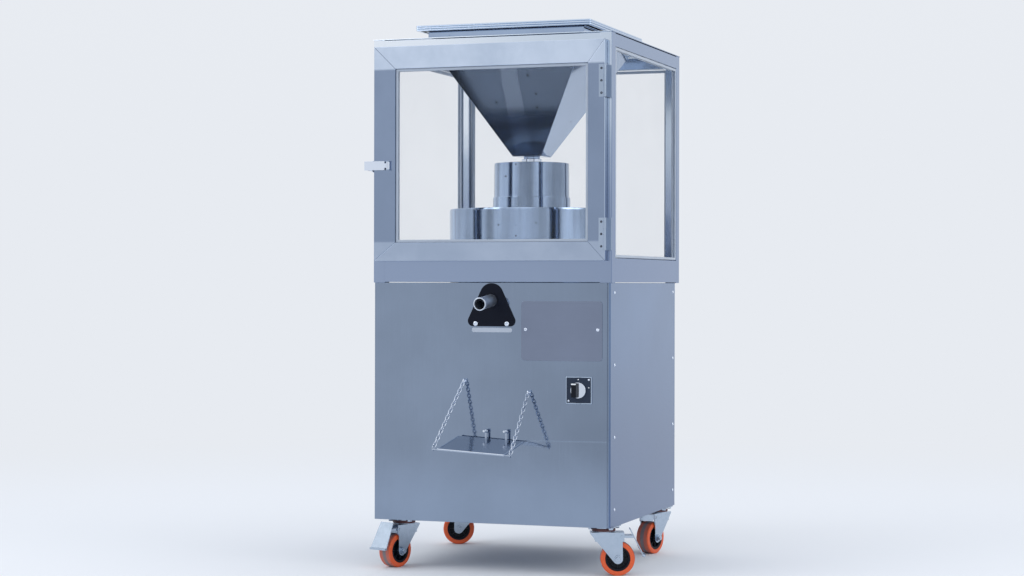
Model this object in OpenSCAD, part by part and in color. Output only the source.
// Nut butter grinder for a shop floor: a glass case with a square hopper over a stone
// mill, standing on a sheet steel cabinet that holds the motor and rolls on four casters.
// Millimetres. +Z is up, the front faces -Y. The origin is at the middle of the footprint.

/* [Glass case] */
// Width of the glass case, left to right
case_w = 560; // [540:5:590]
// Depth of the glass case, front to rear
case_d = 560; // [540:5:590]
// Height of the glass case above the cabinet
case_h = 544; // [530:2:560]
// Side of the square corner posts
post_w = 30; // [26:1:32]
// Height of the rails under the roof
roof_rail_h = 31; // [24:1:36]
// Height of the rails along the foot of the case
foot_rail_h = 55; // [52:1:60]
// Wall of the frame tubes
tube_wall = 2; // [1.5:0.5:3]
// Thickness of the roof sheet
roof_t = 2; // [1.5:0.5:3]

/* [Windows] */
// Thickness of the panes
pane_t = 4; // [3:1:6]
// Visible width of the rubber gasket
gasket_w = 6; // [5:1:8]
// Thickness of the gasket
gasket_t = 10; // [8:1:12]
// How deep a pane sits in its gasket
pane_grip = 3; // [2:0.5:4]
// How far a fixed gasket lies inside the face of the case
gasket_inset = 2; // [1:0.5:4]

/* [Door] */
// Thickness of the door
door_t = 17; // [15:1:20]
// Air between the door and the case
door_gap = 1; // [0.6:0.2:2]
// From the left side of the case to the door
door_left = 10; // [6:1:16]
// From the door to the right side of the case
door_right = 12; // [11:0.5:14]
// Width of the stile on the latch side
latch_stile_w = 51; // [48:1:56]
// Width of the stile on the hinge side
hinge_stile_w = 38; // [34:1:42]
// From the foot of the case to the door
door_foot = 48; // [42:1:52]
// From the door to the top of the case
door_head = 19; // [16:1:24]
// Height of the bottom rail of the door
door_sill_h = 41; // [36:1:46]
// Height of the top rail of the door
door_top_rail_h = 50; // [44:1:56]
// Sheet the door is folded from
door_sheet = 2; // [1.5:0.5:2.5]

/* [Hinges and latch] */
// Height of each hinge
hinge_h = 70; // [60:2:80]
// Foot of the upper hinge above the foot of the case
upper_hinge_z = 400; // [380:5:410]
// Foot of the lower hinge above the foot of the case
lower_hinge_z = 70; // [60:5:90]
// Radius of the hinge knuckles
knuckle_r = 3; // [2.6:0.1:3.2]
// Radius of the hinge pins
hinge_pin_r = 1.5; // [1.2:0.1:1.7]
// Width of a hinge leaf on the door
hinge_leaf_w = 13; // [11:1:16]
// Thickness of the hinge leaves
hinge_leaf_t = 1.5; // [1:0.25:1.5]
// Height of the latch above the foot of the case
latch_z = 260; // [220:5:300]
// Height of the latch handle
latch_h = 20; // [16:1:24]
// How far the latch pivot lies from the left side of the case
latch_pivot_x = 46; // [44:1:48]
// Radius of the round barrel at the latch pivot
latch_barrel_r = 4.5; // [4:0.25:5]

/* [Hopper and lid] */
// Outer side of the square collar on the roof
collar_w = 370; // [350:5:380]
// Height of the collar
collar_h = 24; // [20:1:30]
// Sheet thickness of the hopper
hopper_sheet = 2; // [1.5:0.5:2.5]
// Side of the hopper at its foot
hopper_foot_w = 70; // [64:1:76]
// Height of the hopper foot above the foot of the case
hopper_foot_z = 292; // [288:1:296]
// Bore of the throat under the hopper
throat_bore_r = 17; // [15:0.5:18]
// Side of the square lid
lid_w = 416; // [400:2:430]
// Thickness of the lid
lid_t = 13; // [11:1:15]

/* [Mill] */
// Radius of the large mill housing
mill_r = 190; // [182:1:194]
// Height of the large mill housing
mill_h = 170; // [160:1:180]
// Radius of the upper feed housing
feed_r = 88; // [84:1:92]
// Top of the feed housing above the foot of the case
feed_top_z = 278; // [270:1:282]
// Height of the band round the foot of the feed housing
feed_band_h = 27; // [20:1:34]
// How far that band stands out
feed_band_t = 1.5; // [1:0.5:3]
// Wall of the mill castings
mill_wall = 5; // [4:0.5:6]
// Radius of the mill stones
stone_r = 110; // [100:1:120]
// Thickness of each mill stone
stone_t = 34; // [30:1:36]
// Grinding gap between the stones
stone_gap = 0.4; // [0.3:0.1:1]
// Radius of the eye of the fixed stone
stone_eye_r = 40; // [36:1:42]
// Radius of the mill shaft
shaft_r = 12.5; // [10:0.5:13.5]
// Running clearance of the shaft in its bearings
shaft_clearance = 0.05; // [0.02:0.01:0.1]
// Outer radius of the mill bearings
bearing_r = 26; // [24:1:28]
// Width of each mill bearing
bearing_w = 15; // [13:1:17]
// Radius of the bearing housing
bearing_housing_r = 40; // [36:1:42]

/* [Motor] */
// Outer radius of the motor over its fins
motor_r = 80; // [74:1:88]
// Length of the finned motor body
motor_body_h = 190; // [170:5:210]
// Thickness of each motor end shield
end_shield_t = 16; // [12:1:20]
// Depth of the fan cowl
cowl_h = 64; // [56:2:72]
// Length of the bearing housing below the deck
pedestal_drop = 78; // [74:1:86]

/* [Cabinet] */
// How far the cabinet sides lie inside the sides of the case
cabinet_inset = 4; // [2:0.5:6]
// Depth of the cabinet
cabinet_d = 527; // [521:2:533]
// Height of the cabinet
cabinet_h = 530; // [520:2:540]
// How far the cabinet front lies behind the case front
cabinet_setback = 3; // [2:0.5:4]
// Sheet thickness of the cabinet panels
panel_t = 2; // [1.5:0.5:2]
// Thickness of the deck under the mill
deck_t = 4; // [3:0.5:5]
// Thickness of the cabinet floor
floor_t = 3; // [2.5:0.5:4]
// Side of the upright tubes in the cabinet
cabinet_post_w = 30; // [26:1:32]
// Height of the tubes under the deck
deck_rail_h = 16; // [14:1:18]
// Width of the groove beside the right panel
groove_w = 3.5; // [2.5:0.5:5]
// Width of the folded front edge of the right panel
fold_w = 4.5; // [4:0.5:6]

/* [Spout] */
// Radius of the spout pipe
spout_r = 13.5; // [12:0.5:14.5]
// Wall of the spout pipe
spout_wall = 1.5; // [1:0.5:2]
// How far the spout stands out of the cabinet
spout_reach = 77; // [70:1:90]
// Fall of the spout pipe, in degrees
spout_slope = 5.9; // [5:0.1:6.5]
// How far the spout lies to the right of the mill axis
spout_off = 2.5; // [0:0.5:6]
// Drop from the foot of the case to the spout at the panel
spout_drop = 38.6; // [38:0.2:42]
// Distance of the discharge opening from the mill axis
chute_r_pos = 155; // [146:1:160]
// Width of the black plate round the spout
spout_plate_w = 110; // [104:1:118]
// Height of the black plate round the spout
spout_plate_h = 95; // [90:1:104]

/* [Plates and switch] */
// Width of the blank name plate
name_w = 185; // [170:1:190]
// Height of the blank name plate
name_h = 130; // [120:1:140]
// From the name plate to the right side of the case
name_right = 23; // [20:0.5:28]
// Top of the name plate below the foot of the case
name_drop = 40; // [36:1:50]
// Side of the square switch plate
switch_w = 60; // [54:1:64]
// Centre of the switch from the right side of the case
switch_right = 75.5; // [70:0.5:84]
// Centre of the switch below the foot of the case
switch_drop = 233; // [222:1:240]
// Radius of the switch dial
dial_r = 17; // [15:0.5:20]

/* [Tray and chains] */
// Width of the tray
tray_w = 154; // [146:1:160]
// Depth of the tray, along its slope
tray_d = 129; // [120:1:134]
// Thickness of the tray
tray_t = 2; // [1.5:0.5:3]
// How far the middle of the tray lies to the right of the spout
tray_off = 3.5; // [0:0.5:8]
// Slope of the tray towards its front edge, in degrees
tray_slope = 9.3; // [8:0.1:11]
// How far the tray hangs down to the right, in degrees
tray_roll = 3.3; // [2:0.1:4]
// Rear edge of the tray below the foot of the case
tray_drop = 342; // [336:1:346]
// Hinge line of the tray above its rear edge
tray_hinge_up = 16; // [14:1:20]
// Distance between the two hinge hooks
hook_spacing = 47; // [40:1:56]
// How far the left chain eye lies to the left of the tray's middle
left_eye_out = 65; // [62:1:68]
// Left chain eye below the foot of the case
left_eye_drop = 217; // [212:1:222]
// How far the right chain eye lies to the right of the tray's middle
right_eye_out = 85; // [82:1:88]
// Right chain eye below the foot of the case
right_eye_drop = 240; // [236:1:246]
// Wire of the chain links
link_wire = 2.4; // [2:0.1:2.6]
// Outer length of a chain link
link_l = 15; // [14:0.5:16]
// Outer width of a chain link
link_w = 9.4; // [9:0.1:10]

/* [Casters] */
// Height of the casters, floor to cabinet
caster_h = 108; // [106:1:114]
// Diameter of the caster wheels
wheel_d = 75; // [72:1:78]
// Width of the caster wheels
wheel_w = 32; // [28:1:34]
// Trail of the casters
trail = 30; // [27:1:33]
// Inset of the left swivel axes from the cabinet side
swivel_inset_left = 50; // [40:1:56]
// Inset of the right swivel axes from the cabinet side
swivel_inset_right = 31; // [31:1:50]
// Inset of the front swivel axes from the cabinet front
swivel_inset_y = 52; // [50:1:58]
// Inset of the rear swivel axes from the cabinet rear
swivel_inset_rear = 45; // [45:1:56]
// Thickness of the fork plates
fork_t = 2.5; // [2:0.5:3]
// Radius of the wheel axles
axle_r = 5; // [4:0.5:6]
// Reach of the brake pedals from the swivel axis
pedal_reach = 90; // [88:1:94]
// Width of the brake pedals at their lip
pedal_w = 46; // [42:1:50]

/* [Hidden] */
$fn = 48;

eps = 0.01;            // overlap that makes a cut clean
seat_gap = 0.3;        // air where a loose piece rests
weld_gap = 0.2;        // joint between the bars of a frame
fit_gap = 0.05;        // running clearance of small pins

// Colours
steel = [0.62, 0.67, 0.74];
bright = [0.80, 0.84, 0.90];
zinc = [0.66, 0.70, 0.76];
black = [0.05, 0.05, 0.07];
stone_grey = [0.55, 0.54, 0.50];
motor_blue = [0.22, 0.27, 0.33];
orange = [0.90, 0.36, 0.18];
glass_tint = [0.75, 0.85, 0.90, 0.35];

// Levels and sides
seam_z = caster_h + cabinet_h;
case_top = seam_z + case_h;
roof_under = case_top - roof_t;
cab_left = cabinet_inset;
cab_right = case_w - cabinet_inset;
cab_front = cabinet_setback;
cab_rear = cab_front + cabinet_d;
frame_left = cab_left + panel_t;
frame_right = cab_right - panel_t;
frame_front = cab_front + panel_t;
frame_rear = cab_rear - panel_t;
frame_top = seam_z - deck_t;
frame_foot = caster_h + floor_t;
mill_x = case_w / 2;
mill_y = case_d / 2;
spout_x = mill_x + spout_off;
tray_x = spout_x + tray_off;
name_x = case_w - name_right - name_w / 2;
switch_x = case_w - switch_right;

// Casters: swivel places and the way each one trails
swivels = [
    [cab_left + swivel_inset_left, cab_front + swivel_inset_y, 251],
    [cab_right - swivel_inset_right, cab_front + swivel_inset_y, 20],
    [cab_left + swivel_inset_left, cab_rear - swivel_inset_rear, 200],
    [cab_right - swivel_inset_right, cab_rear - swivel_inset_rear, 254]];
wheel_r = wheel_d / 2;
wheel_edge = 3;        // rounding of the tread edges

// Footprint: the rear left wheel, the front right pedal, the tray and the case rear
function wheel_reach(angle) = trail * abs(cos(angle)) + (wheel_r - wheel_edge) * abs(cos(angle))
    + (wheel_w / 2 - wheel_edge) * abs(sin(angle)) + wheel_edge;
x_min = swivels[2][0] - wheel_reach(swivels[2][2]);
x_max = swivels[1][0] + pedal_reach * cos(swivels[1][2]) + pedal_w / 2 * sin(swivels[1][2]);
tray_y = cab_front - 11;
y_min = tray_y - tray_d * cos(tray_slope);
y_max = case_d;

module placed() {
    translate([-(x_min + x_max) / 2, -(y_min + y_max) / 2, 0]) children();
}

// ---- Shared shapes ----

// A block from one corner to the opposite one
module span(low, high) {
    translate(low) cube(high - low);
}

// A rectangular tube with open ends, from one corner to the opposite one; axis 0, 1 or 2
module tube_bar(low, high, axis, wall = tube_wall) {
    skin = [for (i = [0:2]) i == axis ? -eps : wall];
    difference() {
        span(low, high);
        span(low + skin, high - skin);
    }
}

// Four uprights with the rails between them, as separate welded bars
module box_frame(low, high, post, foot_h, head_h) {
    for (x = [low[0], high[0] - post], y = [low[1], high[1] - post])
        tube_bar([x, y, low[2]], [x + post, y + post, high[2]], 2);
    start = post + weld_gap;
    for (rail = [[low[2], low[2] + foot_h], [high[2] - head_h, high[2]]]) {
        for (y = [low[1], high[1] - post])
            tube_bar([low[0] + start, y, rail[0]], [high[0] - start, y + post, rail[1]], 0);
        for (x = [low[0], high[0] - post])
            tube_bar([x, low[1] + start, rail[0]], [x + post, high[1] - start, rail[1]], 1);
    }
}

// A flat rectangular ring standing on edge, seen along Y, its lower left corner at the origin
module upright_ring(w, h, band, depth) {
    difference() {
        cube([w, depth, h]);
        translate([band, -eps, band]) cube([w - 2 * band, depth + 2 * eps, h - 2 * band]);
    }
}

// A gasket that fills an opening w by h and holds a pane in a groove
module gasket(w, h) {
    groove = gasket_w - pane_grip;
    difference() {
        upright_ring(w, h, gasket_w, gasket_t);
        translate([groove, (gasket_t - pane_t) / 2, groove])
            cube([w - 2 * groove, pane_t, h - 2 * groove]);
    }
}

// The pane that fits that gasket
module pane(w, h) {
    edge = gasket_w - pane_grip;
    translate([edge, (gasket_t - pane_t) / 2, edge])
        cube([w - 2 * edge, pane_t, h - 2 * edge]);
}

// A cylinder along Y from y0 to y1
module rod_y(x, z, r, y0, y1) {
    translate([x, y1, z]) rotate([90, 0, 0]) cylinder(r = r, h = y1 - y0);
}

// A cylinder along X from x0 to x1
module rod_x(y, z, r, x0, x1) {
    translate([x0, y, z]) rotate([0, 90, 0]) cylinder(r = r, h = x1 - x0);
}

// A round-headed screw whose head stands out along +Z
module round_head(r, height) {
    ball = (r * r + height * height) / (2 * height);
    intersection() {
        translate([0, 0, height - ball]) sphere(r = ball);
        cylinder(r = r, h = height);
    }
}

// A sheet outline with rounded corners, centred
module rounded_outline(w, h, r) {
    square([w - 2 * r, h], center = true);
    square([w, h - 2 * r], center = true);
    for (x = [-1, 1], y = [-1, 1])
        translate([x * (w / 2 - r), y * (h / 2 - r)]) circle(r = r);
}

// ---- Cabinet ----

module base_frame() {
    color(steel) box_frame([frame_left, frame_front, frame_foot],
        [frame_right, frame_rear, frame_top], cabinet_post_w, cabinet_post_w, deck_rail_h);
}

module floor_plate() {
    color(steel) span([frame_left, frame_front, caster_h], [frame_right, frame_rear, frame_foot]);
}

spout_z = seam_z - spout_drop;
spout_hole_r = spout_r + 0.3;

// Everything along the spout: z runs out of the cabinet, down the slope
module along_spout() {
    translate([spout_x, cab_front, spout_z]) rotate([90 + spout_slope, 0, 0]) children();
}

module spout_hole() {
    along_spout() translate([0, 0, -30]) cylinder(r = spout_hole_r, h = 60);
}

front_right_edge = cab_right - fold_w - groove_w;
switch_z = seam_z - switch_drop;
switch_bush_r = 11;

module front_panel() {
    color(steel) difference() {
        span([cab_left, cab_front, caster_h], [front_right_edge, frame_front, seam_z]);
        spout_hole();
        rod_y(switch_x, switch_z, switch_bush_r, cab_front - 1, frame_front + 1);
    }
}

module left_side_panel() {
    color(steel) span([cab_left, frame_front, caster_h], [frame_left, cab_rear, seam_z]);
}

module right_side_panel() {
    color(steel) {
        span([frame_right, cab_front, caster_h], [cab_right, cab_rear, seam_z]);
        span([cab_right - fold_w, cab_front, caster_h], [cab_right, frame_front, seam_z]);
    }
}

gland_x = case_w - 80;
gland_z = caster_h + 80;
gland_body_r = 10;
gland_bore_r = 5;
vent_slots = 9;
vent_pitch = 16;
vent_w = 240;
vent_h = 6;

module rear_panel() {
    vent_z = caster_h + 250;
    color(steel) difference() {
        span([frame_left, frame_rear, caster_h], [frame_right, cab_rear, seam_z]);
        for (i = [0:vent_slots - 1])
            span([mill_x - vent_w / 2, frame_rear - 1, vent_z + i * vent_pitch],
                [mill_x + vent_w / 2, cab_rear + 1, vent_z + i * vent_pitch + vent_h]);
        rod_y(gland_x, gland_z, gland_body_r + fit_gap, frame_rear - 1, cab_rear + 1);
    }
}

chute_r = 20;
chute_wall = 2;
chute_y = mill_y - chute_r_pos;

module deck_plate() {
    color(steel) difference() {
        span([frame_left, frame_front, frame_top], [frame_right, frame_rear, seam_z]);
        translate([mill_x, mill_y, frame_top - 1])
            cylinder(r = bearing_housing_r + fit_gap, h = deck_t + 2);
        translate([spout_x, chute_y, frame_top - 1])
            cylinder(r = chute_r + fit_gap, h = deck_t + 2);
    }
}

// ---- Glass case ----

module case_frame() {
    color(bright) box_frame([0, 0, seam_z], [case_w, case_d, roof_under],
        post_w, foot_rail_h, roof_rail_h);
}

collar_in = collar_w - 2 * hopper_sheet;

module roof_panel() {
    color(bright) difference() {
        span([0, 0, roof_under], [case_w, case_d, case_top]);
        translate([mill_x - collar_in / 2, mill_y - collar_in / 2, roof_under - 1])
            cube([collar_in, collar_in, roof_t + 2]);
    }
}

window_z = seam_z + foot_rail_h;
window_h = roof_under - roof_rail_h - window_z;
side_window_w = case_d - 2 * post_w;
rear_window_w = case_w - 2 * post_w;

// Puts a child drawn seen along Y into the left, right and rear openings
module in_right_window() {
    translate([case_w - gasket_inset, post_w, window_z]) rotate([0, 0, 90]) children();
}

module in_left_window() {
    translate([gasket_inset + gasket_t, post_w, window_z]) rotate([0, 0, 90]) children();
}

module in_rear_window() {
    translate([post_w, case_d - gasket_inset - gasket_t, window_z]) children();
}

module fixed_windows() {
    color(glass_tint) {
        in_right_window() pane(side_window_w, window_h);
        in_left_window() pane(side_window_w, window_h);
        in_rear_window() pane(rear_window_w, window_h);
    }
}

module window_gaskets() {
    color(black) {
        in_right_window() gasket(side_window_w, window_h);
        in_left_window() gasket(side_window_w, window_h);
        in_rear_window() gasket(rear_window_w, window_h);
    }
}

// ---- Door ----

door_low = [door_left, -door_gap - door_t, seam_z + door_foot];
door_high = [case_w - door_right, -door_gap, case_top - door_head];
door_opening = [door_left + latch_stile_w, door_low[1], door_low[2] + door_sill_h];
door_window_w = door_high[0] - hinge_stile_w - door_opening[0];
door_window_h = door_high[2] - door_top_rail_h - door_opening[2];

module door_frame() {
    far = door_opening + [door_window_w, door_t, door_window_h];
    color(steel) difference() {
        span(door_low, door_high);
        // the folded sheet is open at the back, between its outer and inner returns
        difference() {
            span(door_low + [door_sheet, door_sheet, door_sheet],
                door_high + [-door_sheet, 1, -door_sheet]);
            span(door_opening - [door_sheet, 1, door_sheet], far + [door_sheet, 2, door_sheet]);
        }
        span(door_opening - [0, 1, 0], far + [0, 1, 0]);
    }
}

module in_door() {
    translate(door_opening + [0, (door_t - gasket_t) / 2, 0]) children();
}

module door_window() {
    color(glass_tint) in_door() pane(door_window_w, door_window_h);
}

module door_gasket() {
    color(black) in_door() gasket(door_window_w, door_window_h);
}

hinge_x = door_high[0] + 1;
hinge_y = door_low[1] - knuckle_r - 0.2;
knuckle_h = hinge_h / 3;

module at_hinges() {
    for (z = [lower_hinge_z, upper_hinge_z])
        translate([hinge_x, hinge_y, seam_z + z]) children();
}

// The hinge leaves screwed to the door, each with the middle knuckle, and the latch pin
module door_hardware() {
    leaf_y = door_low[1] - hinge_y;
    color(bright) latch_post();
    color(bright) at_hinges() {
        difference() {
            union() {
                translate([0, 0, knuckle_h + seat_gap])
                    cylinder(r = knuckle_r, h = knuckle_h - 2 * seat_gap);
                span([-hinge_leaf_w - 1, leaf_y - hinge_leaf_t, 0],
                    [-knuckle_r - seat_gap, leaf_y, hinge_h]);
                span([-knuckle_r - seat_gap - eps, leaf_y - hinge_leaf_t, knuckle_h + seat_gap],
                    [0, leaf_y, 2 * knuckle_h - seat_gap]);
            }
            cylinder(r = hinge_pin_r + fit_gap, h = hinge_h);
        }
        for (z = [0.12, 0.5, 0.88])
            translate([-hinge_leaf_w * 0.55 - 1, leaf_y - hinge_leaf_t + eps, z * hinge_h])
                rotate([90, 0, 0]) round_head(2.6, 1.2);
    }
}

// The leaves on the corner post, each with two knuckles and the pin
module frame_hinge_leaves() {
    side_x = 1.6;
    color(bright) at_hinges() difference() {
        union() {
            cylinder(r = hinge_pin_r, h = hinge_h);
            for (z = [0, 2 * knuckle_h]) {
                translate([0, 0, z]) cylinder(r = knuckle_r, h = knuckle_h);
                span([side_x, 0, z], [side_x + hinge_leaf_t, -hinge_y, z + knuckle_h]);
            }
            span([side_x, knuckle_r + 0.6, 0], [side_x + hinge_leaf_t, -hinge_y, hinge_h]);
            span([side_x, -hinge_y - hinge_leaf_t, 0], [door_right - 2, -hinge_y, hinge_h]);
        }
    }
}

latch_mid_z = seam_z + latch_z;
latch_arm_t = 5;
latch_pin_r = 2;
latch_pivot_y = door_low[1] - latch_barrel_r - 0.7;
barrel_h = latch_h * 0.8;
hook_out = 10;         // how far the latch hook stands out of the case side
keeper_t = 3;

// The handle: swings on the pin on the door and hooks round the corner of the case
module door_latch() {
    y0 = latch_pivot_y - latch_arm_t / 2;
    y1 = latch_pivot_y + latch_arm_t / 2;
    neck_x = latch_pivot_x - latch_barrel_r - 3;
    low = latch_mid_z - latch_h / 2;
    high = latch_mid_z + latch_h / 2;
    color(bright) difference() {
        union() {
            span([-hook_out, y0, low], [neck_x, y1, high]);
            span([-hook_out, y0, latch_mid_z - latch_h / 4],
                [latch_pivot_x, y1, latch_mid_z + latch_h / 4]);
            span([-hook_out, y0, low], [4 - hook_out, 10, high]);
            translate([latch_pivot_x, latch_pivot_y, latch_mid_z - barrel_h / 2])
                cylinder(r = latch_barrel_r, h = barrel_h);
        }
        translate([latch_pivot_x, latch_pivot_y, low])
            cylinder(r = latch_pin_r + fit_gap, h = latch_h);
    }
}

// The pin of the latch between its two ears on the door
module latch_post() {
    ear_t = 2;
    ear_z = barrel_h / 2 + seat_gap;
    translate([latch_pivot_x, latch_pivot_y, latch_mid_z - ear_z - ear_t])
        cylinder(r = latch_pin_r, h = 2 * (ear_z + ear_t));
    for (z = [-ear_z - ear_t, ear_z])
        span([latch_pivot_x - 4, latch_pivot_y - 3, latch_mid_z + z],
            [latch_pivot_x + 4, door_low[1], latch_mid_z + z + ear_t]);
}

module latch_keeper() {
    half = latch_h / 2 + 3;
    color(bright) span([-keeper_t, 1, latch_mid_z - half], [0, post_w - 4, latch_mid_z + half]);
}

// ---- Hopper and lid ----

collar_top = case_top + collar_h;
hopper_base = seam_z + hopper_foot_z;
throat_r = throat_bore_r + hopper_sheet;
feed_top = seam_z + feed_top_z;
hopper_rim = roof_under - 3;

// A four-sided cone with sides parallel to X and Y
module square_cone(w0, w1, height) {
    rotate([0, 0, 45]) cylinder(d1 = w0 * sqrt(2), d2 = w1 * sqrt(2), h = height, $fn = 4);
}

// The joints between its welded sheets: along the four corners, over the foot and under the collar
module hopper_joints() {
    foot_top = hopper_base + hopper_sheet;
    for (turn = [45, 135]) rotate([0, 0, turn])
        translate([-collar_w, -weld_gap / 2, foot_top]) cube([2 * collar_w, weld_gap, 2 * hopper_foot_z]);
    for (z = [foot_top, hopper_rim - weld_gap])
        translate([-collar_w, -collar_w, z]) cube([2 * collar_w, 2 * collar_w, weld_gap]);
}

// Foot with the throat, four sloping sheets and the four sides of the collar
module hopper() {
    slope_h = hopper_rim - hopper_base;
    inner_foot = hopper_foot_w - 2 * hopper_sheet;
    inner_rim = collar_in - 2 * hopper_sheet;
    color(bright) translate([mill_x, mill_y, 0]) difference() {
        union() {
            translate([0, 0, hopper_base]) square_cone(hopper_foot_w, collar_in, slope_h);
            translate([-collar_in / 2, -collar_in / 2, hopper_rim - eps])
                cube([collar_in, collar_in, case_top - hopper_rim + 2 * eps]);
            translate([-collar_w / 2, -collar_w / 2, case_top])
                cube([collar_w, collar_w, collar_h]);
            translate([0, 0, feed_top - hopper_sheet]) cylinder(r = throat_r,
                h = hopper_base - feed_top + 2 * hopper_sheet);
        }
        translate([0, 0, hopper_base + hopper_sheet])
            square_cone(inner_foot, inner_rim, slope_h - hopper_sheet);
        translate([-inner_rim / 2, -inner_rim / 2, hopper_rim - eps])
            cube([inner_rim, inner_rim, collar_h + roof_t + 10]);
        translate([0, 0, feed_top - hopper_sheet - 1])
            cylinder(r = throat_bore_r, h = hopper_base - feed_top + 3 * hopper_sheet + 2);
        hopper_joints();
    }
}

module hopper_lid() {
    roll = lid_t / 2;
    edge = lid_w / 2 - roll;
    low = collar_top + seat_gap;
    top = low + lid_t;
    rib_out = collar_w / 2 + 5;
    rib_in = collar_w / 2 - 10;
    tongue_out = collar_in / 2 - hopper_sheet - 1;
    color(bright) translate([mill_x, mill_y, 0]) {
        // sheet and rolled rim
        translate([-edge, -edge, top - 2]) cube([2 * edge, 2 * edge, 2]);
        for (turn = [0, 90, 180, 270]) rotate([0, 0, turn]) {
            translate([-edge, edge, low + roll]) rotate([0, 90, 0])
                cylinder(r = roll, h = 2 * edge);
            translate([edge, edge, low + roll]) sphere(r = roll);
        }
        // stiffening frame that rests on the collar, and the tongue inside it
        difference() {
            translate([-rib_out, -rib_out, low]) cube([2 * rib_out, 2 * rib_out, lid_t - 1]);
            translate([-rib_in, -rib_in, low - 1]) cube([2 * rib_in, 2 * rib_in, lid_t + 1]);
        }
        difference() {
            translate([-tongue_out, -tongue_out, low - 8])
                cube([2 * tongue_out, 2 * tongue_out, lid_t + 7]);
            translate([-tongue_out + 2, -tongue_out + 2, low - 9])
                cube([2 * tongue_out - 4, 2 * tongue_out - 4, lid_t + 9]);
        }
    }
}

// ---- Mill ----

mill_top = seam_z + mill_h;
stone_top = mill_top - mill_wall;
running_top = stone_top - stone_t - stone_gap;

module on_mill(z) {
    translate([mill_x, mill_y, z]) children();
}

module ring(outer, inner, height) {
    difference() {
        cylinder(r = outer, h = height);
        translate([0, 0, -1]) cylinder(r = inner, h = height + 2);
    }
}

module mill_housing() {
    color(bright) difference() {
        on_mill(seam_z) cylinder(r = mill_r, h = mill_h - mill_wall, $fn = 120);
        on_mill(seam_z + mill_wall) cylinder(r = mill_r - mill_wall, h = mill_h, $fn = 120);
        on_mill(seam_z - 1) cylinder(r = bearing_housing_r + fit_gap, h = mill_wall + 2);
        translate([spout_x, chute_y, seam_z - 1]) cylinder(r = chute_r + fit_gap, h = mill_wall + 2);
    }
}

// Cover of the large housing with the feed housing on top
module mill_cover() {
    color(bright) on_mill(0) difference() {
        union() {
            translate([0, 0, stone_top]) cylinder(r = mill_r, h = mill_wall, $fn = 120);
            translate([0, 0, stone_top]) cylinder(r = feed_r, h = feed_top - stone_top, $fn = 96);
            translate([0, 0, mill_top]) cylinder(r = feed_r + feed_band_t, h = feed_band_h, $fn = 96);
        }
        translate([0, 0, stone_top - 1])
            cylinder(r = feed_r - mill_wall, h = feed_top - stone_top + 1 - mill_wall, $fn = 96);
        translate([0, 0, feed_top - mill_wall - 1])
            cylinder(r = throat_r + fit_gap, h = mill_wall + 2);
    }
}

module fixed_stone() {
    color(stone_grey) on_mill(stone_top - stone_t) ring(stone_r, stone_eye_r, stone_t);
}

module running_stone() {
    hub_t = 10;
    color(stone_grey) on_mill(running_top - stone_t)
        ring(stone_r, shaft_r + fit_gap, stone_t);
    color(zinc) on_mill(running_top - stone_t - hub_t) ring(stone_r - 20, shaft_r + fit_gap, hub_t);
}

shaft_top = feed_top - mill_wall - 22;
shaft_foot = frame_top - pedestal_drop + 26;
impeller_z = running_top + 6;

// Hub with two tiers of pitched blades that feed the nuts into the stone eye
module feed_impeller() {
    hub_r = shaft_r + 6;
    lower_r = stone_eye_r - 4;
    upper_r = feed_r - mill_wall - 6;
    upper_z = mill_top + 14;
    color(zinc) on_mill(0) difference() {
        union() {
            translate([0, 0, impeller_z]) cylinder(r = hub_r, h = shaft_top - impeller_z + 6);
            for (turn = [0, 120, 240]) rotate([0, 0, turn]) {
                translate([hub_r - 3, 0, impeller_z + 12]) rotate([35, 0, 0])
                    translate([0, -1.5, -9]) cube([lower_r - hub_r + 2, 3, 18]);
                translate([hub_r - 3, 0, upper_z + 14]) rotate([35, 0, 0])
                    translate([0, -2, -14]) cube([upper_r - hub_r + 2, 4, 28]);
            }
        }
        translate([0, 0, impeller_z - 1]) cylinder(r = shaft_r + fit_gap, h = shaft_top - impeller_z + 1);
    }
}

// Motor levels, from the pedestal flange downwards
motor_top = frame_top - pedestal_drop;
body_top = motor_top - end_shield_t;
body_foot = body_top - motor_body_h;
shield_foot = body_foot - end_shield_t;
cowl_foot = shield_foot - cowl_h;
motor_shaft_top = shaft_foot - 1;
motor_bore = motor_r - 18;
rotor_r = motor_bore - 20;
core_inset = 20;
air_gap = 0.6;

// The mill shaft, and below it the motor shaft with its rotor core
module mill_shaft() {
    fan_z = shield_foot - 30;
    color(zinc) {
        on_mill(shaft_foot) cylinder(r = shaft_r, h = shaft_top - shaft_foot);
        on_mill(fan_z) cylinder(r = shaft_r, h = motor_shaft_top - fan_z);
        on_mill(body_foot + core_inset) cylinder(r = rotor_r, h = motor_body_h - 2 * core_inset);
    }
}

bearing_seats = [seam_z + 2, seam_z + mill_wall + 42];

module shaft_bearings() {
    color(bright) for (z = bearing_seats)
        on_mill(z) ring(bearing_r, shaft_r + shaft_clearance, bearing_w);
}

pedestal_flange_r = motor_r - 4;
housing_top = bearing_seats[1] + bearing_w + 3;
coupling_h = 40;
coupling_r = shaft_r + 10;

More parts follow.
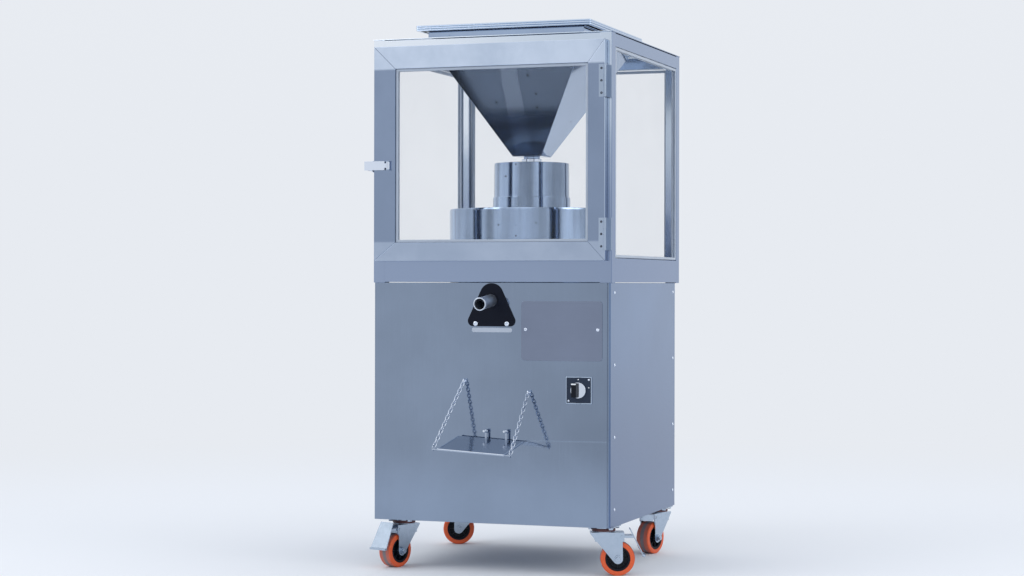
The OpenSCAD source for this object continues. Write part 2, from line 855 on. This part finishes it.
// One casting: bolted under the deck, holds both bearings, carries the motor
module bearing_housing() {
    wall_r = bearing_housing_r;
    color(motor_blue) on_mill(0) difference() {
        union() {
            translate([0, 0, motor_top]) cylinder(r = wall_r, h = housing_top - motor_top);
            translate([0, 0, motor_top]) cylinder(r = pedestal_flange_r, h = 10);
            translate([0, 0, frame_top - 12]) cylinder(r = pedestal_flange_r, h = 12);
        }
        translate([0, 0, motor_top - 1]) cylinder(r = coupling_r + 3, h = pedestal_drop - 13);
        translate([0, 0, motor_top]) cylinder(r = shaft_r + 4, h = housing_top - motor_top + 1);
        for (z = bearing_seats)
            translate([0, 0, z]) cylinder(r = bearing_r, h = bearing_w);
    }
}

module shaft_coupling() {
    color(orange) on_mill(shaft_foot - coupling_h / 2)
        ring(coupling_r, shaft_r + fit_gap, coupling_h);
}

// ---- Motor ----

fin_count = 24;
fin_t = 3;

// The finned body, with the stator seated in it
module motor_housing() {
    shell_r = motor_r - 10;
    core_h = motor_body_h - 2 * core_inset;
    color([0.70, 0.42, 0.25]) on_mill(body_foot + core_inset)
        ring(motor_bore - fit_gap, rotor_r + air_gap, core_h);
    color(motor_blue) on_mill(body_foot) difference() {
        union() {
            cylinder(r = shell_r, h = motor_body_h);
            for (i = [0:fin_count - 1]) rotate([0, 0, i * 360 / fin_count])
                translate([shell_r - 2, -fin_t / 2, 0]) cube([12, fin_t, motor_body_h]);
        }
        translate([0, 0, -1]) cylinder(r = motor_bore, h = motor_body_h + 2);
    }
}

module motor_end_shields() {
    color(motor_blue) for (z = [body_top, shield_foot])
        on_mill(z) ring(pedestal_flange_r, shaft_r + shaft_clearance, end_shield_t);
}

fan_drop = 26;         // from the lower end shield to the foot of the fan
fan_hub_h = 20;
fan_hub_t = 7;
fan_sheet = 3;
fan_edge_gap = 16;     // from the fan's edge to the outside of the motor

module motor_fan() {
    fan_r = motor_r - fan_edge_gap;
    blades = 7;
    color(black) on_mill(shield_foot - fan_drop) difference() {
        union() {
            cylinder(r = shaft_r + fan_hub_t, h = fan_hub_h);
            cylinder(r = fan_r, h = fan_sheet);
            for (i = [0:blades - 1]) rotate([0, 0, i * 360 / blades])
                translate([shaft_r + fan_sheet, -fan_sheet / 2, 0])
                    cube([fan_r - shaft_r - 2 * fan_sheet, fan_sheet, fan_hub_h - 2]);
        }
        translate([0, 0, -1]) cylinder(r = shaft_r + fit_gap, h = fan_hub_h + 2);
    }
}

module fan_cowl() {
    grille_holes = 8;
    color(motor_blue) on_mill(cowl_foot) difference() {
        cylinder(r = pedestal_flange_r + 2, h = cowl_h + 8);
        translate([0, 0, 2]) cylinder(r = pedestal_flange_r, h = cowl_h + 8);
        for (i = [0:grille_holes - 1]) rotate([0, 0, i * 360 / grille_holes])
            translate([pedestal_flange_r * 0.55, 0, -1]) cylinder(r = 12, h = 4);
    }
}

terminal_w = 90;
terminal_d = 45;
terminal_h = 80;
terminal_lift = 50;    // above the foot of the motor body

module terminal_box() {
    color(motor_blue) translate([mill_x - terminal_w / 2, mill_y + motor_r, body_foot + terminal_lift])
        cube([terminal_w, terminal_d, terminal_h]);
}

// ---- Discharge ----

chute_depth = 44;
spout_inner_end = cab_front - chute_y + 12;  // negative: inside the chute

module discharge_chute() {
    color(bright) difference() {
        translate([spout_x, chute_y, seam_z - chute_depth])
            cylinder(r = chute_r, h = chute_depth + mill_wall);
        translate([spout_x, chute_y, seam_z - chute_depth + chute_wall])
            cylinder(r = chute_r - chute_wall, h = chute_depth + mill_wall);
        along_spout() translate([0, 0, spout_inner_end - 30]) cylinder(r = spout_r, h = 60);
    }
}

lip_l = 4;
lip_t = 1;

module spout_pipe() {
    length = spout_reach / cos(spout_slope);
    color(bright) along_spout() difference() {
        union() {
            translate([0, 0, spout_inner_end]) cylinder(r = spout_r, h = length - spout_inner_end);
            translate([0, 0, length - lip_l]) cylinder(r = spout_r + lip_t, h = lip_l);
        }
        translate([0, 0, spout_inner_end - 1])
            cylinder(r = spout_r - spout_wall, h = length - spout_inner_end + 2);
    }
}

plate_t = 3;           // how far the screwed plates stand out of the panel
spout_plate_top = seam_z - 1;

module plate_outline() {
    apex_r = 27;
    foot_r = 12;
    hull() {
        translate([0, -apex_r]) circle(r = apex_r);
        for (s = [-1, 1])
            translate([s * (spout_plate_w / 2 - foot_r), foot_r - spout_plate_h]) circle(r = foot_r);
    }
}

module spout_plate() {
    color(black) difference() {
        translate([spout_x, cab_front, spout_plate_top]) rotate([90, 0, 0])
            linear_extrude(plate_t) plate_outline();
        spout_hole();
    }
}

name_z = seam_z - name_drop - name_h / 2;
label_w = 94;
label_h = 14;
label_t = 1;
label_z = spout_plate_top - spout_plate_h - label_h / 2 + 1;

// The blank name plate and the blank strip under the spout plate
module blank_plates() {
    color(bright) {
        translate([name_x, cab_front, name_z]) rotate([90, 0, 0])
            linear_extrude(1.5) rounded_outline(name_w, name_h, 7);
        translate([spout_x + 1, cab_front, label_z - 2]) rotate([90, 0, 0])
            linear_extrude(label_t) rounded_outline(label_w, label_h - 4, 4);
    }
}

// ---- Switch ----

switch_spindle_r = 4;
dial_t = 5;

module switch_plate() {
    color(motor_blue) difference() {
        translate([switch_x, cab_front, switch_z]) rotate([90, 0, 0])
            linear_extrude(plate_t) rounded_outline(switch_w, switch_w, 3);
        rod_y(switch_x, switch_z, switch_bush_r, cab_front - plate_t - 1, cab_front + 1);
    }
}

switch_body_d = 48;
switch_body_inset = 6; // how far the body lies inside the edges of its plate

module switch_body() {
    side = switch_w - 2 * switch_body_inset;
    bush_front = cab_front - plate_t + 0.5;
    color(black) difference() {
        union() {
            translate([switch_x - side / 2, frame_front, switch_z - side / 2])
                cube([side, switch_body_d, side]);
            rod_y(switch_x, switch_z, switch_bush_r - fit_gap, bush_front, frame_front + eps);
        }
        rod_y(switch_x, switch_z, switch_spindle_r + fit_gap, bush_front - 1, frame_front + 20);
    }
}

module switch_knob() {
    back = cab_front - plate_t - seat_gap;
    lever_w = 13;
    color(black) {
        rod_y(switch_x, switch_z, switch_spindle_r, back - dial_t, frame_front + 18);
        span([switch_x - lever_w, back - dial_t - 12, switch_z - dial_r],
            [switch_x, back - dial_t + eps, switch_z + dial_r]);
    }
    color(bright) rod_y(switch_x, switch_z, dial_r, back - dial_t, back);
}

module cable_gland() {
    nut_r = 14;
    color(black) difference() {
        union() {
            rod_y(gland_x, gland_z, gland_body_r, frame_rear - 12, cab_rear + 22);
            for (y = [frame_rear - 6, cab_rear])
                translate([gland_x, y + 6, gland_z]) rotate([90, 0, 0])
                    cylinder(r = nut_r, h = 6, $fn = 6);
        }
        rod_y(gland_x, gland_z, gland_bore_r, frame_rear - 13, cab_rear + 23);
    }
}

// ---- Tray and chains ----

tray_z = seam_z - tray_drop;
hinge_line = [0, cab_front - 9, tray_z + tray_hinge_up];
hook_r = 2;
ear_r = 5;
eye_ring_r = 5;        // middle radius of the chain eyes
eye_wire_r = 1.25;
eye_y = cab_front - 9;
corner_out = 11;       // how far the chain eyes stand out of the tray sides
corner_in = 8;         // and how far behind its front edge
hook_post_r = 2.4;     // posts that carry the tray's hinge pins
link_play = 0.1;       // air between two links of a tight chain
eye_play = 0.4;        // air between the last link and its eye

// A point of the tray's top face, x from its middle and y from its rear edge, in the model
function on_tray(x, y) = [tray_x + x * cos(tray_roll) + y * sin(tray_slope) * sin(tray_roll),
    tray_y + y * cos(tray_slope),
    tray_z - x * sin(tray_roll) + y * sin(tray_slope) * cos(tray_roll)];

module on_tray_plane() {
    translate([tray_x, tray_y, tray_z]) rotate([0, tray_roll, 0]) rotate([tray_slope, 0, 0])
        children();
}

hook_x = [tray_x + 6 - hook_spacing / 2, tray_x + 6 + hook_spacing / 2];
left_eye = [tray_x - left_eye_out, eye_y, seam_z - left_eye_drop];
right_eye = [tray_x + right_eye_out, eye_y, seam_z - right_eye_drop];
left_corner = on_tray(-tray_w / 2 - corner_out, -tray_d + corner_in);
right_corner = on_tray(tray_w / 2 + corner_out, -tray_d + corner_in);

// A wire ring in the Y-Z plane
module wire_ring(r, wire_r) {
    rotate([0, 90, 0]) rotate_extrude() translate([r, 0]) circle(r = wire_r, $fn = 24);
}

module panel_eyes() {
    color(bright) {
        for (eye = [left_eye, right_eye]) {
            translate(eye) wire_ring(eye_ring_r, eye_wire_r);
            rod_y(eye[0], eye[2], 1, eye[1] + eye_ring_r, cab_front);
            rod_y(eye[0], eye[2], 3, cab_front - 1.5, cab_front);
        }
        for (x = hook_x) {
            rod_y(x, hinge_line[2], hook_post_r, hinge_line[1] - hook_post_r, cab_front);
            rod_x(hinge_line[1], hinge_line[2], hook_r, x, x + 9);
        }
    }
}

module tray() {
    ear_w = 4;
    color(steel) difference() {
        union() {
            on_tray_plane() translate([-tray_w / 2, -tray_d, -tray_t]) cube([tray_w, tray_d, tray_t]);
            for (x = hook_x) {
                top = on_tray(x - tray_x, -3);
                rod_x(hinge_line[1], hinge_line[2], ear_r, x + 3.5, x + 3.5 + ear_w);
                span([x + 3.5, hinge_line[1] - 1.5 - hook_r, top[2] - tray_t],
                    [x + 3.5 + ear_w, hinge_line[1] + 1.5 - hook_r, hinge_line[2] - hook_r]);
            }
        }
        for (x = hook_x)
            rod_x(hinge_line[1], hinge_line[2], hook_r + fit_gap, x + 3, x + 4.5 + ear_w);
    }
    color(bright) for (side = [-1, 1]) {
        corner = side < 0 ? left_corner : right_corner;
        translate(corner) wire_ring(eye_ring_r, eye_wire_r);
        // stem from the front of the eye into the tray's corner
        stem = on_tray(side * (tray_w / 2 - 3), -tray_d + 2.5);
        reach = corner_out + 3 + eye_wire_r;
        translate([stem[0], corner[1] - eye_ring_r, stem[2] - tray_t / 2])
            rotate([0, side * 90, 0]) cylinder(r = 1.5, h = reach);
        translate([corner[0] - 1.25, corner[1] - eye_ring_r - 1.25, min(stem[2] - 2.5, corner[2])])
            cube([2.5, 2.5, abs(corner[2] - stem[2]) + 2.5]);
    }
}

// One link: a stadium of wire lying in the X-Z plane, centred
module chain_link() {
    wire_r = link_wire / 2;
    bend = link_w / 2 - wire_r;
    half = link_l / 2 - link_w / 2;
    for (s = [-1, 1]) {
        translate([s * bend, 0, -half - eps]) cylinder(r = wire_r, h = 2 * half + 2 * eps, $fn = 24);
        translate([0, 0, s * half]) rotate([s * 90, 0, 0])
            rotate_extrude(angle = 180) translate([bend, 0]) circle(r = wire_r, $fn = 24);
    }
}

// Links from first to last of a chain between two points; odd ones lie flat across X
module chain_part(from, to, first_share, last_share) {
    line = to - from;
    span_l = norm(line);
    end_gap = eye_ring_r - eye_wire_r - link_wire - eye_play + link_l / 2;
    count = 2 * ceil((span_l - 2 * end_gap) / (link_l - 2 * link_wire - link_play) / 2) + 1;
    pitch = (span_l - 2 * end_gap) / (count - 1);
    middle = (count - 1) / 2;
    translate(from)
        rotate([0, 0, atan2(line[1], line[0]) - 90])
        rotate([-acos(line[2] / span_l), 0, 0])
        for (i = [0:count - 1])
            if ((first_share == 0 && i < middle) || (last_share == 1 && i > middle))
                translate([0, 0, end_gap + i * pitch]) rotate([0, 0, i % 2 * 90]) chain_link();
}

module left_chain_upper() {
    color(bright) chain_part(left_eye, left_corner, 0, 0);
}

module left_chain_lower() {
    color(bright) chain_part(left_eye, left_corner, 1, 1);
}

module right_chain_upper() {
    color(bright) chain_part(right_eye, right_corner, 0, 0);
}

module right_chain_lower() {
    color(bright) chain_part(right_eye, right_corner, 1, 1);
}

// ---- Casters ----

plate_x = 62;
plate_y = 60;
top_plate_t = 2.5;
race_r = 23;
crown_top = caster_h - 13;
crown_t = 3;
kingpin_r = 6;
axle_z = wheel_r;
leg_in = wheel_w / 2 + 2.5;
leg_out = leg_in + fork_t;

// Puts a child drawn at the origin, trailing along +X, at one of the casters
module at_caster(i) {
    translate([swivels[i][0], swivels[i][1], 0]) rotate([0, 0, swivels[i][2]]) children();
}

module caster_plates() {
    color(zinc) for (i = [0:3]) {
        translate([swivels[i][0], swivels[i][1], 0]) {
            translate([-plate_x / 2, -plate_y / 2, caster_h - top_plate_t])
                cube([plate_x, plate_y, top_plate_t]);
            translate([0, 0, crown_top + seat_gap])
                cylinder(r = race_r, h = caster_h - top_plate_t - crown_top - seat_gap + eps);
            translate([0, 0, crown_top - crown_t - seat_gap - 2])
                cylinder(r = kingpin_r, h = crown_t + 2 * seat_gap + 3);
            translate([0, 0, crown_top - crown_t - seat_gap - 4]) cylinder(r = kingpin_r + 4, h = 4);
        }
    }
}

fork_back = 30;        // crown behind the swivel axis
fork_ahead = 14;       // crown ahead of the axle
fork_skirt = 20;       // straight part of the legs under the crown
leg_foot_r = 11;
leg_nose = 8;          // front edge of the legs ahead of the axle
pedal_pivot_drop = 22; // pedal pin under the cabinet

// Side view of a fork leg: broad at the crown, round at the axle
module leg_outline() {
    nose_h = fork_skirt - crown_t + 1;
    hull() {
        translate([trail, axle_z]) circle(r = leg_foot_r);
        translate([-fork_back, crown_top - crown_t]) square([2 * crown_t, crown_t]);
        translate([trail + leg_nose, crown_top - crown_t - nose_h]) square([crown_t - 1, nose_h]);
    }
    translate([-fork_skirt, crown_top - fork_skirt]) square([trail + fork_ahead + fork_skirt, fork_skirt]);
}

pedal_pivot = [trail + leg_nose, 0, caster_h - pedal_pivot_drop];
pedal_pin_r = 2.5;

module fork() {
    color(zinc) difference() {
        union() {
            translate([-fork_back, -leg_out, crown_top - crown_t])
                cube([fork_back + trail + fork_ahead, 2 * leg_out, crown_t]);
            for (side = [-1, 1])
                translate([0, side > 0 ? leg_out : -leg_in, 0]) rotate([90, 0, 0])
                    linear_extrude(fork_t) leg_outline();
        }
        translate([0, 0, crown_top - crown_t - 1]) cylinder(r = kingpin_r + fit_gap, h = crown_t + 2);
        rod_y(trail, axle_z, axle_r + fit_gap, -leg_out - 1, leg_out + 1);
        rod_y(pedal_pivot[0], pedal_pivot[2], pedal_pin_r + fit_gap, -leg_out - 1, leg_out + 1);
    }
    // the axle bolt with its heads, held in the legs
    color(bright) {
        rod_y(trail, axle_z, axle_r, -leg_out - 1, leg_out + 1);
        for (side = [-1, 1]) {
            start = side > 0 ? leg_out + fit_gap : -leg_out - fit_gap - 4;
            rod_y(trail, axle_z, axle_r + 3, start, start + 4);
        }
    }
}

module wheel() {
    half = wheel_w / 2;
    hub_r = wheel_r - 10;
    // tread: a ring with rounded edges
    color(orange) translate([trail, 0, axle_z]) rotate([90, 0, 0]) rotate_extrude($fn = 96)
        difference() {
            translate([hub_r + fit_gap, -half]) square([wheel_r - hub_r - fit_gap, wheel_w]);
            for (s = [-1, 1]) translate([wheel_r - wheel_edge, s * (half - wheel_edge)])
                difference() {
                    translate([0, s > 0 ? 0 : -wheel_edge - 1]) square([wheel_edge + 1, wheel_edge + 1]);
                    circle(r = wheel_edge);
                }
        }
    // hub: web between a rim and a boss
    color(black) translate([trail, 0, axle_z]) rotate([90, 0, 0]) rotate_extrude($fn = 96)
        difference() {
            translate([axle_r + fit_gap, -half]) square([hub_r - axle_r - fit_gap, wheel_w]);
            for (s = [-1, 1]) translate([axle_r + 6, s > 0 ? half - 8 : -half - 1])
                square([hub_r - axle_r - 10, 9]);
        }
}

module pedal() {
    boss_w = 2 * leg_in - 2;
    top = [trail + 26, caster_h - 7];
    foot = [pedal_reach - 6, 46];
    sheet = 2.5;
    run = norm(foot - top);
    lean = atan2(top[1] - foot[1], foot[0] - top[0]);
    arm_end = top[0] + (top[1] - pedal_pivot[2]) / tan(lean) + 1;
    color(zinc) {
        difference() {
            union() {
                rod_y(pedal_pivot[0], pedal_pivot[2], 5, -boss_w / 2, boss_w / 2);
                span([pedal_pivot[0], -boss_w / 2, pedal_pivot[2] - 3],
                    [arm_end, boss_w / 2, pedal_pivot[2] + 2]);
                translate([top[0], 0, top[1]]) rotate([0, lean, 0]) linear_extrude(sheet)
                    polygon([[0, -18], [0, 18], [run, pedal_w / 2], [run, -pedal_w / 2]]);
                span([foot[0] - 1, -pedal_w / 2, foot[1] - 3], [pedal_reach, pedal_w / 2, foot[1] + 1.5]);
            }
            rod_y(pedal_pivot[0], pedal_pivot[2], pedal_pin_r + fit_gap, -boss_w, boss_w);
        }
    }
}

module brake_pins() {
    color(zinc) rod_y(pedal_pivot[0], pedal_pivot[2], pedal_pin_r, -leg_out - 1, leg_out + 1);
}

module front_left_fork() {
    at_caster(0) fork();
    at_caster(0) brake_pins();
}

module front_right_fork() {
    at_caster(1) fork();
    at_caster(1) brake_pins();
}

module rear_left_fork() {
    at_caster(2) fork();
}

module rear_right_fork() {
    at_caster(3) fork();
}

// ---- Fasteners ----

module panel_fasteners() {
    screw_r = 3.6;
    side_rows = [for (i = [0:3]) caster_h + 38 + i * 157];
    color(bright) {
        // side panels
        for (y = [cab_front + 28, cab_rear - 20], z = side_rows) {
            translate([cab_right, y, z]) rotate([0, 90, 0]) round_head(screw_r, 2);
            translate([cab_left, y, z]) rotate([0, -90, 0]) round_head(screw_r, 2);
        }
        // spout plate, name plate and switch plate
        for (s = [-1, 1]) {
            translate([spout_x + s * (spout_plate_w / 2 - 18.5), cab_front - plate_t,
                spout_plate_top - spout_plate_h + 6]) rotate([90, 0, 0]) round_head(5.8, 3.2);
            translate([name_x + s * (name_w / 2 - 10), cab_front - 1.5, name_z + 3])
                rotate([90, 0, 0]) round_head(4, 2.4);
            translate([switch_x + s * (switch_w / 2 - 6), cab_front - plate_t,
                switch_z + s * (switch_w / 2 - 6)]) rotate([90, 0, 0]) round_head(2.4, 1.2);
        }
        // caster bolts under their plates
        for (i = [0:3], x = [-1, 1], y = [-1, 1])
            translate([swivels[i][0] + x * (plate_x / 2 - 8), swivels[i][1] + y * (plate_y / 2 - 7),
                caster_h - top_plate_t - 4]) cylinder(r = 5.5, h = 4, $fn = 6);
        // bolts of the bearing housing and of the motor
        for (i = [0:5]) on_mill(0) rotate([0, 0, i * 60 + 30]) {
            translate([pedestal_flange_r - 14, 0, frame_top - 17]) cylinder(r = 6, h = 5, $fn = 6);
            translate([pedestal_flange_r - 14, 0, motor_top + 10]) cylinder(r = 6, h = 5, $fn = 6);
        }
    }
}

// ---- The whole machine, one node at a time ----

placed() base_frame();
placed() floor_plate();
placed() front_panel();
placed() left_side_panel();
placed() right_side_panel();
placed() rear_panel();
placed() deck_plate();
placed() case_frame();
placed() roof_panel();
placed() fixed_windows();
placed() window_gaskets();
placed() door_frame();
placed() door_window();
placed() door_gasket();
placed() door_hardware();
placed() frame_hinge_leaves();
placed() door_latch();
placed() latch_keeper();
placed() hopper();
placed() hopper_lid();
placed() mill_housing();
placed() mill_cover();
placed() fixed_stone();
placed() running_stone();
placed() feed_impeller();
placed() mill_shaft();
placed() shaft_bearings();
placed() bearing_housing();
placed() shaft_coupling();
placed() motor_housing();
placed() motor_end_shields();
placed() motor_fan();
placed() fan_cowl();
placed() terminal_box();
placed() discharge_chute();
placed() spout_pipe();
placed() spout_plate();
placed() blank_plates();
placed() switch_plate();
placed() switch_body();
placed() switch_knob();
placed() cable_gland();
placed() panel_fasteners();
placed() panel_eyes();
placed() tray();
placed() left_chain_upper();
placed() left_chain_lower();
placed() right_chain_upper();
placed() right_chain_lower();
placed() caster_plates();
placed() front_left_fork();
placed() front_right_fork();
placed() rear_left_fork();
placed() rear_right_fork();
placed() at_caster(0) wheel();  // front_left_wheel
placed() at_caster(1) wheel();  // front_right_wheel
placed() at_caster(2) wheel();  // rear_left_wheel
placed() at_caster(3) wheel();  // rear_right_wheel
placed() at_caster(0) pedal();  // front_left_pedal
placed() at_caster(1) pedal();  // front_right_pedal
